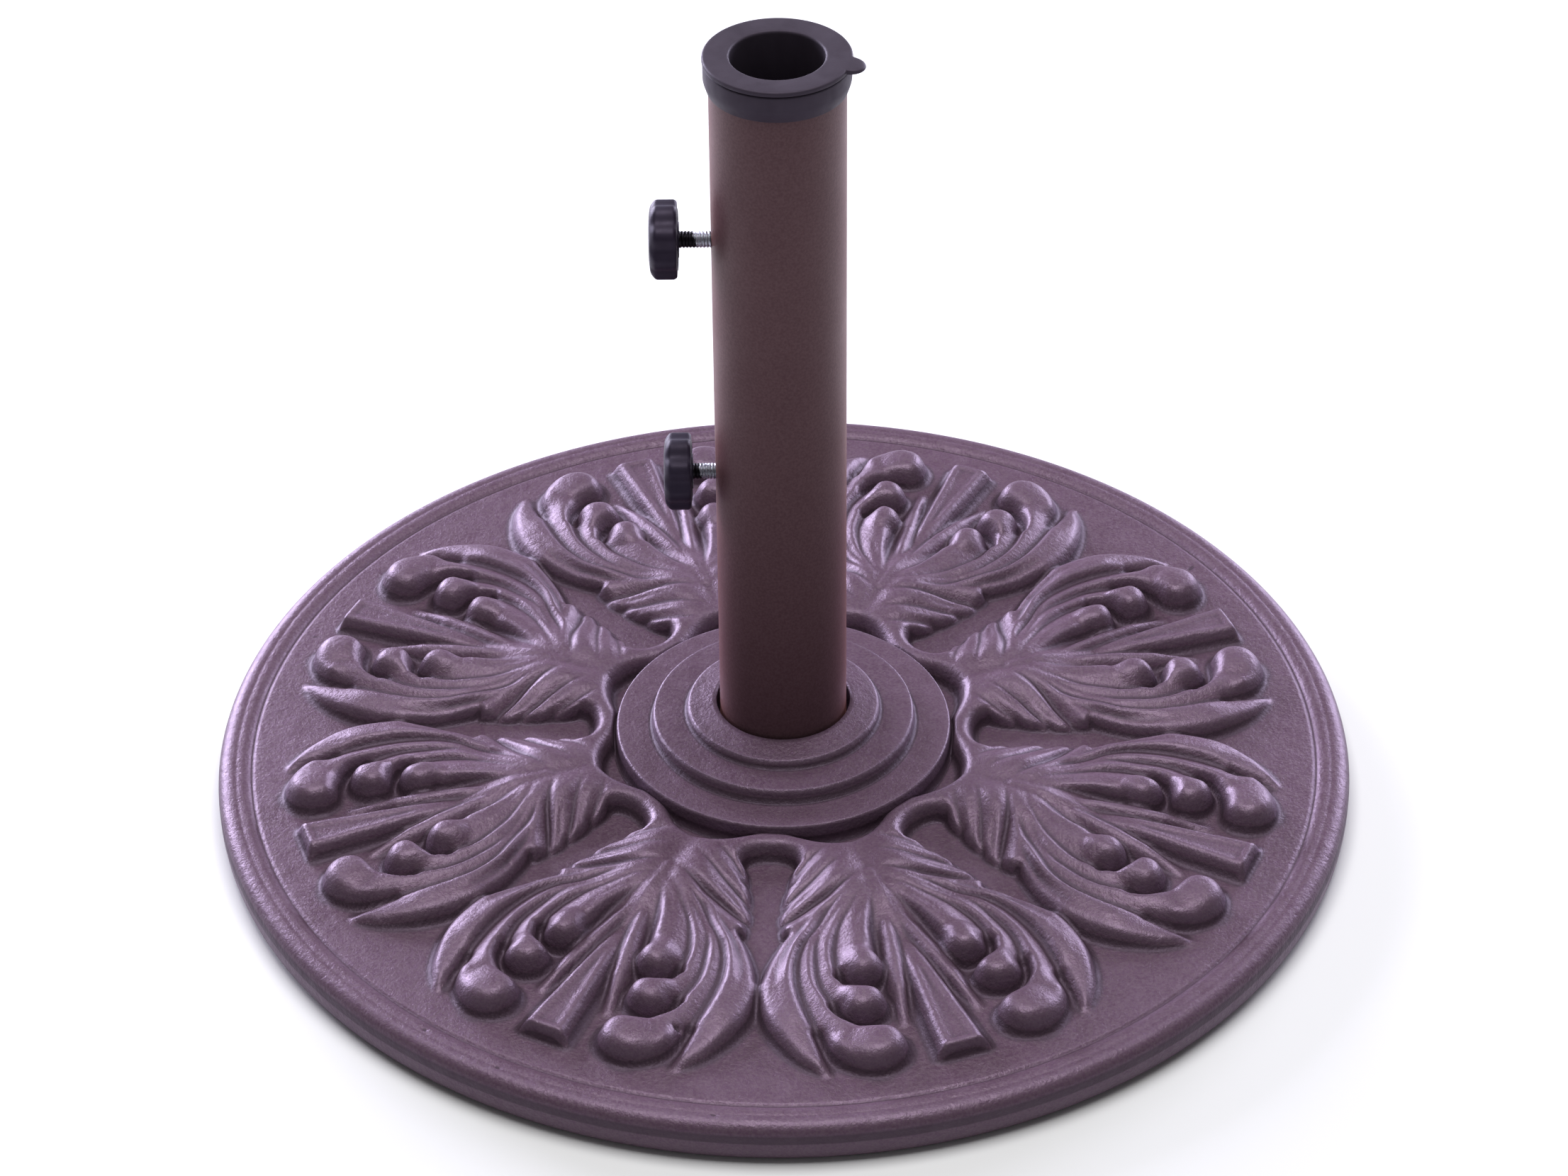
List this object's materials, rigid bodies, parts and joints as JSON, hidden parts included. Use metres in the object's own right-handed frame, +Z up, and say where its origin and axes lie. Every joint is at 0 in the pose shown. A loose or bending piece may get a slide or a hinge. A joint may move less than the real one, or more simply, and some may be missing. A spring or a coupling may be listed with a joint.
{
  "type": "parasol base",
  "caption": "Round cast parasol base with leaf relief, upright steel stem, pole collar with lift-out reducer ring and side clamp screws with star knobs.",
  "frame": {"origin": "centre of the underside, in the plane the foot pads stand on", "axes": "+Z up along the stem and the pole bore; the clamp knobs are towards -X; -Y is the front"},
  "size_m": [0.4572, 0.4572, 0.3345],
  "materials": {
    "casting": "satin bronze paint over cast stone",
    "stem_paint": "matte brown powder coat",
    "black_plastic": "matte charcoal",
    "knob_plastic": "semi-gloss black",
    "zinc_steel": "bright zinc plate",
    "rubber": "matte"
  },
  "bodies": {
    "stand": {"base_casting": "casting", "foot_pad_1": "rubber", "foot_pad_2": "rubber", "foot_pad_3": "rubber", "foot_pad_4": "rubber", "base_bolt": "zinc_steel", "base_washer": "zinc_steel", "base_lock_washer": "zinc_steel", "stem_tube": "stem_paint", "stem_foot_disc": "stem_paint", "stem_foot_nut": "zinc_steel", "pole_collar": "black_plastic", "upper_weld_nut": "zinc_steel", "lower_weld_nut": "zinc_steel"},
    "reducer": {"reducer_ring": "black_plastic"},
    "upper_screw": {"upper_clamp_screw": "zinc_steel"},
    "upper_knob": {"upper_knob": "knob_plastic", "upper_knob_cap": "knob_plastic"},
    "lower_screw": {"lower_clamp_screw": "zinc_steel"},
    "lower_knob": {"lower_knob": "knob_plastic", "lower_knob_cap": "knob_plastic"}
  },
  "joints": [
    {"name": "reducer_lift", "type": "slide", "parent": "stand", "child": "reducer", "axis": [0, 0, 1], "range_m": [0, 0.03]},
    {"name": "upper_screw_travel", "type": "slide", "parent": "stand", "child": "upper_screw", "axis": [1, 0, 0], "range_m": [-0.00255, 0.01145]},
    {"name": "upper_knob_turn", "type": "hinge", "parent": "upper_screw", "child": "upper_knob", "pos_m": [-0.0373, 0, 0.256], "axis": [1, 0, 0], "range_deg": [-720, 3240]},
    {"name": "lower_screw_travel", "type": "slide", "parent": "stand", "child": "lower_screw", "axis": [1, 0, 0], "range_m": [-0.0051, 0.00765]},
    {"name": "lower_knob_turn", "type": "hinge", "parent": "lower_screw", "child": "lower_knob", "pos_m": [-0.0341, 0, 0.1502], "axis": [1, 0, 0], "range_deg": [-1440, 2160]}
  ],
  "couplings": [
    {"joint": "upper_screw_travel", "follows": "upper_knob_turn", "m_per_rad": 0.00020213},
    {"joint": "lower_screw_travel", "follows": "lower_knob_turn", "m_per_rad": 0.00020213}
  ]
}
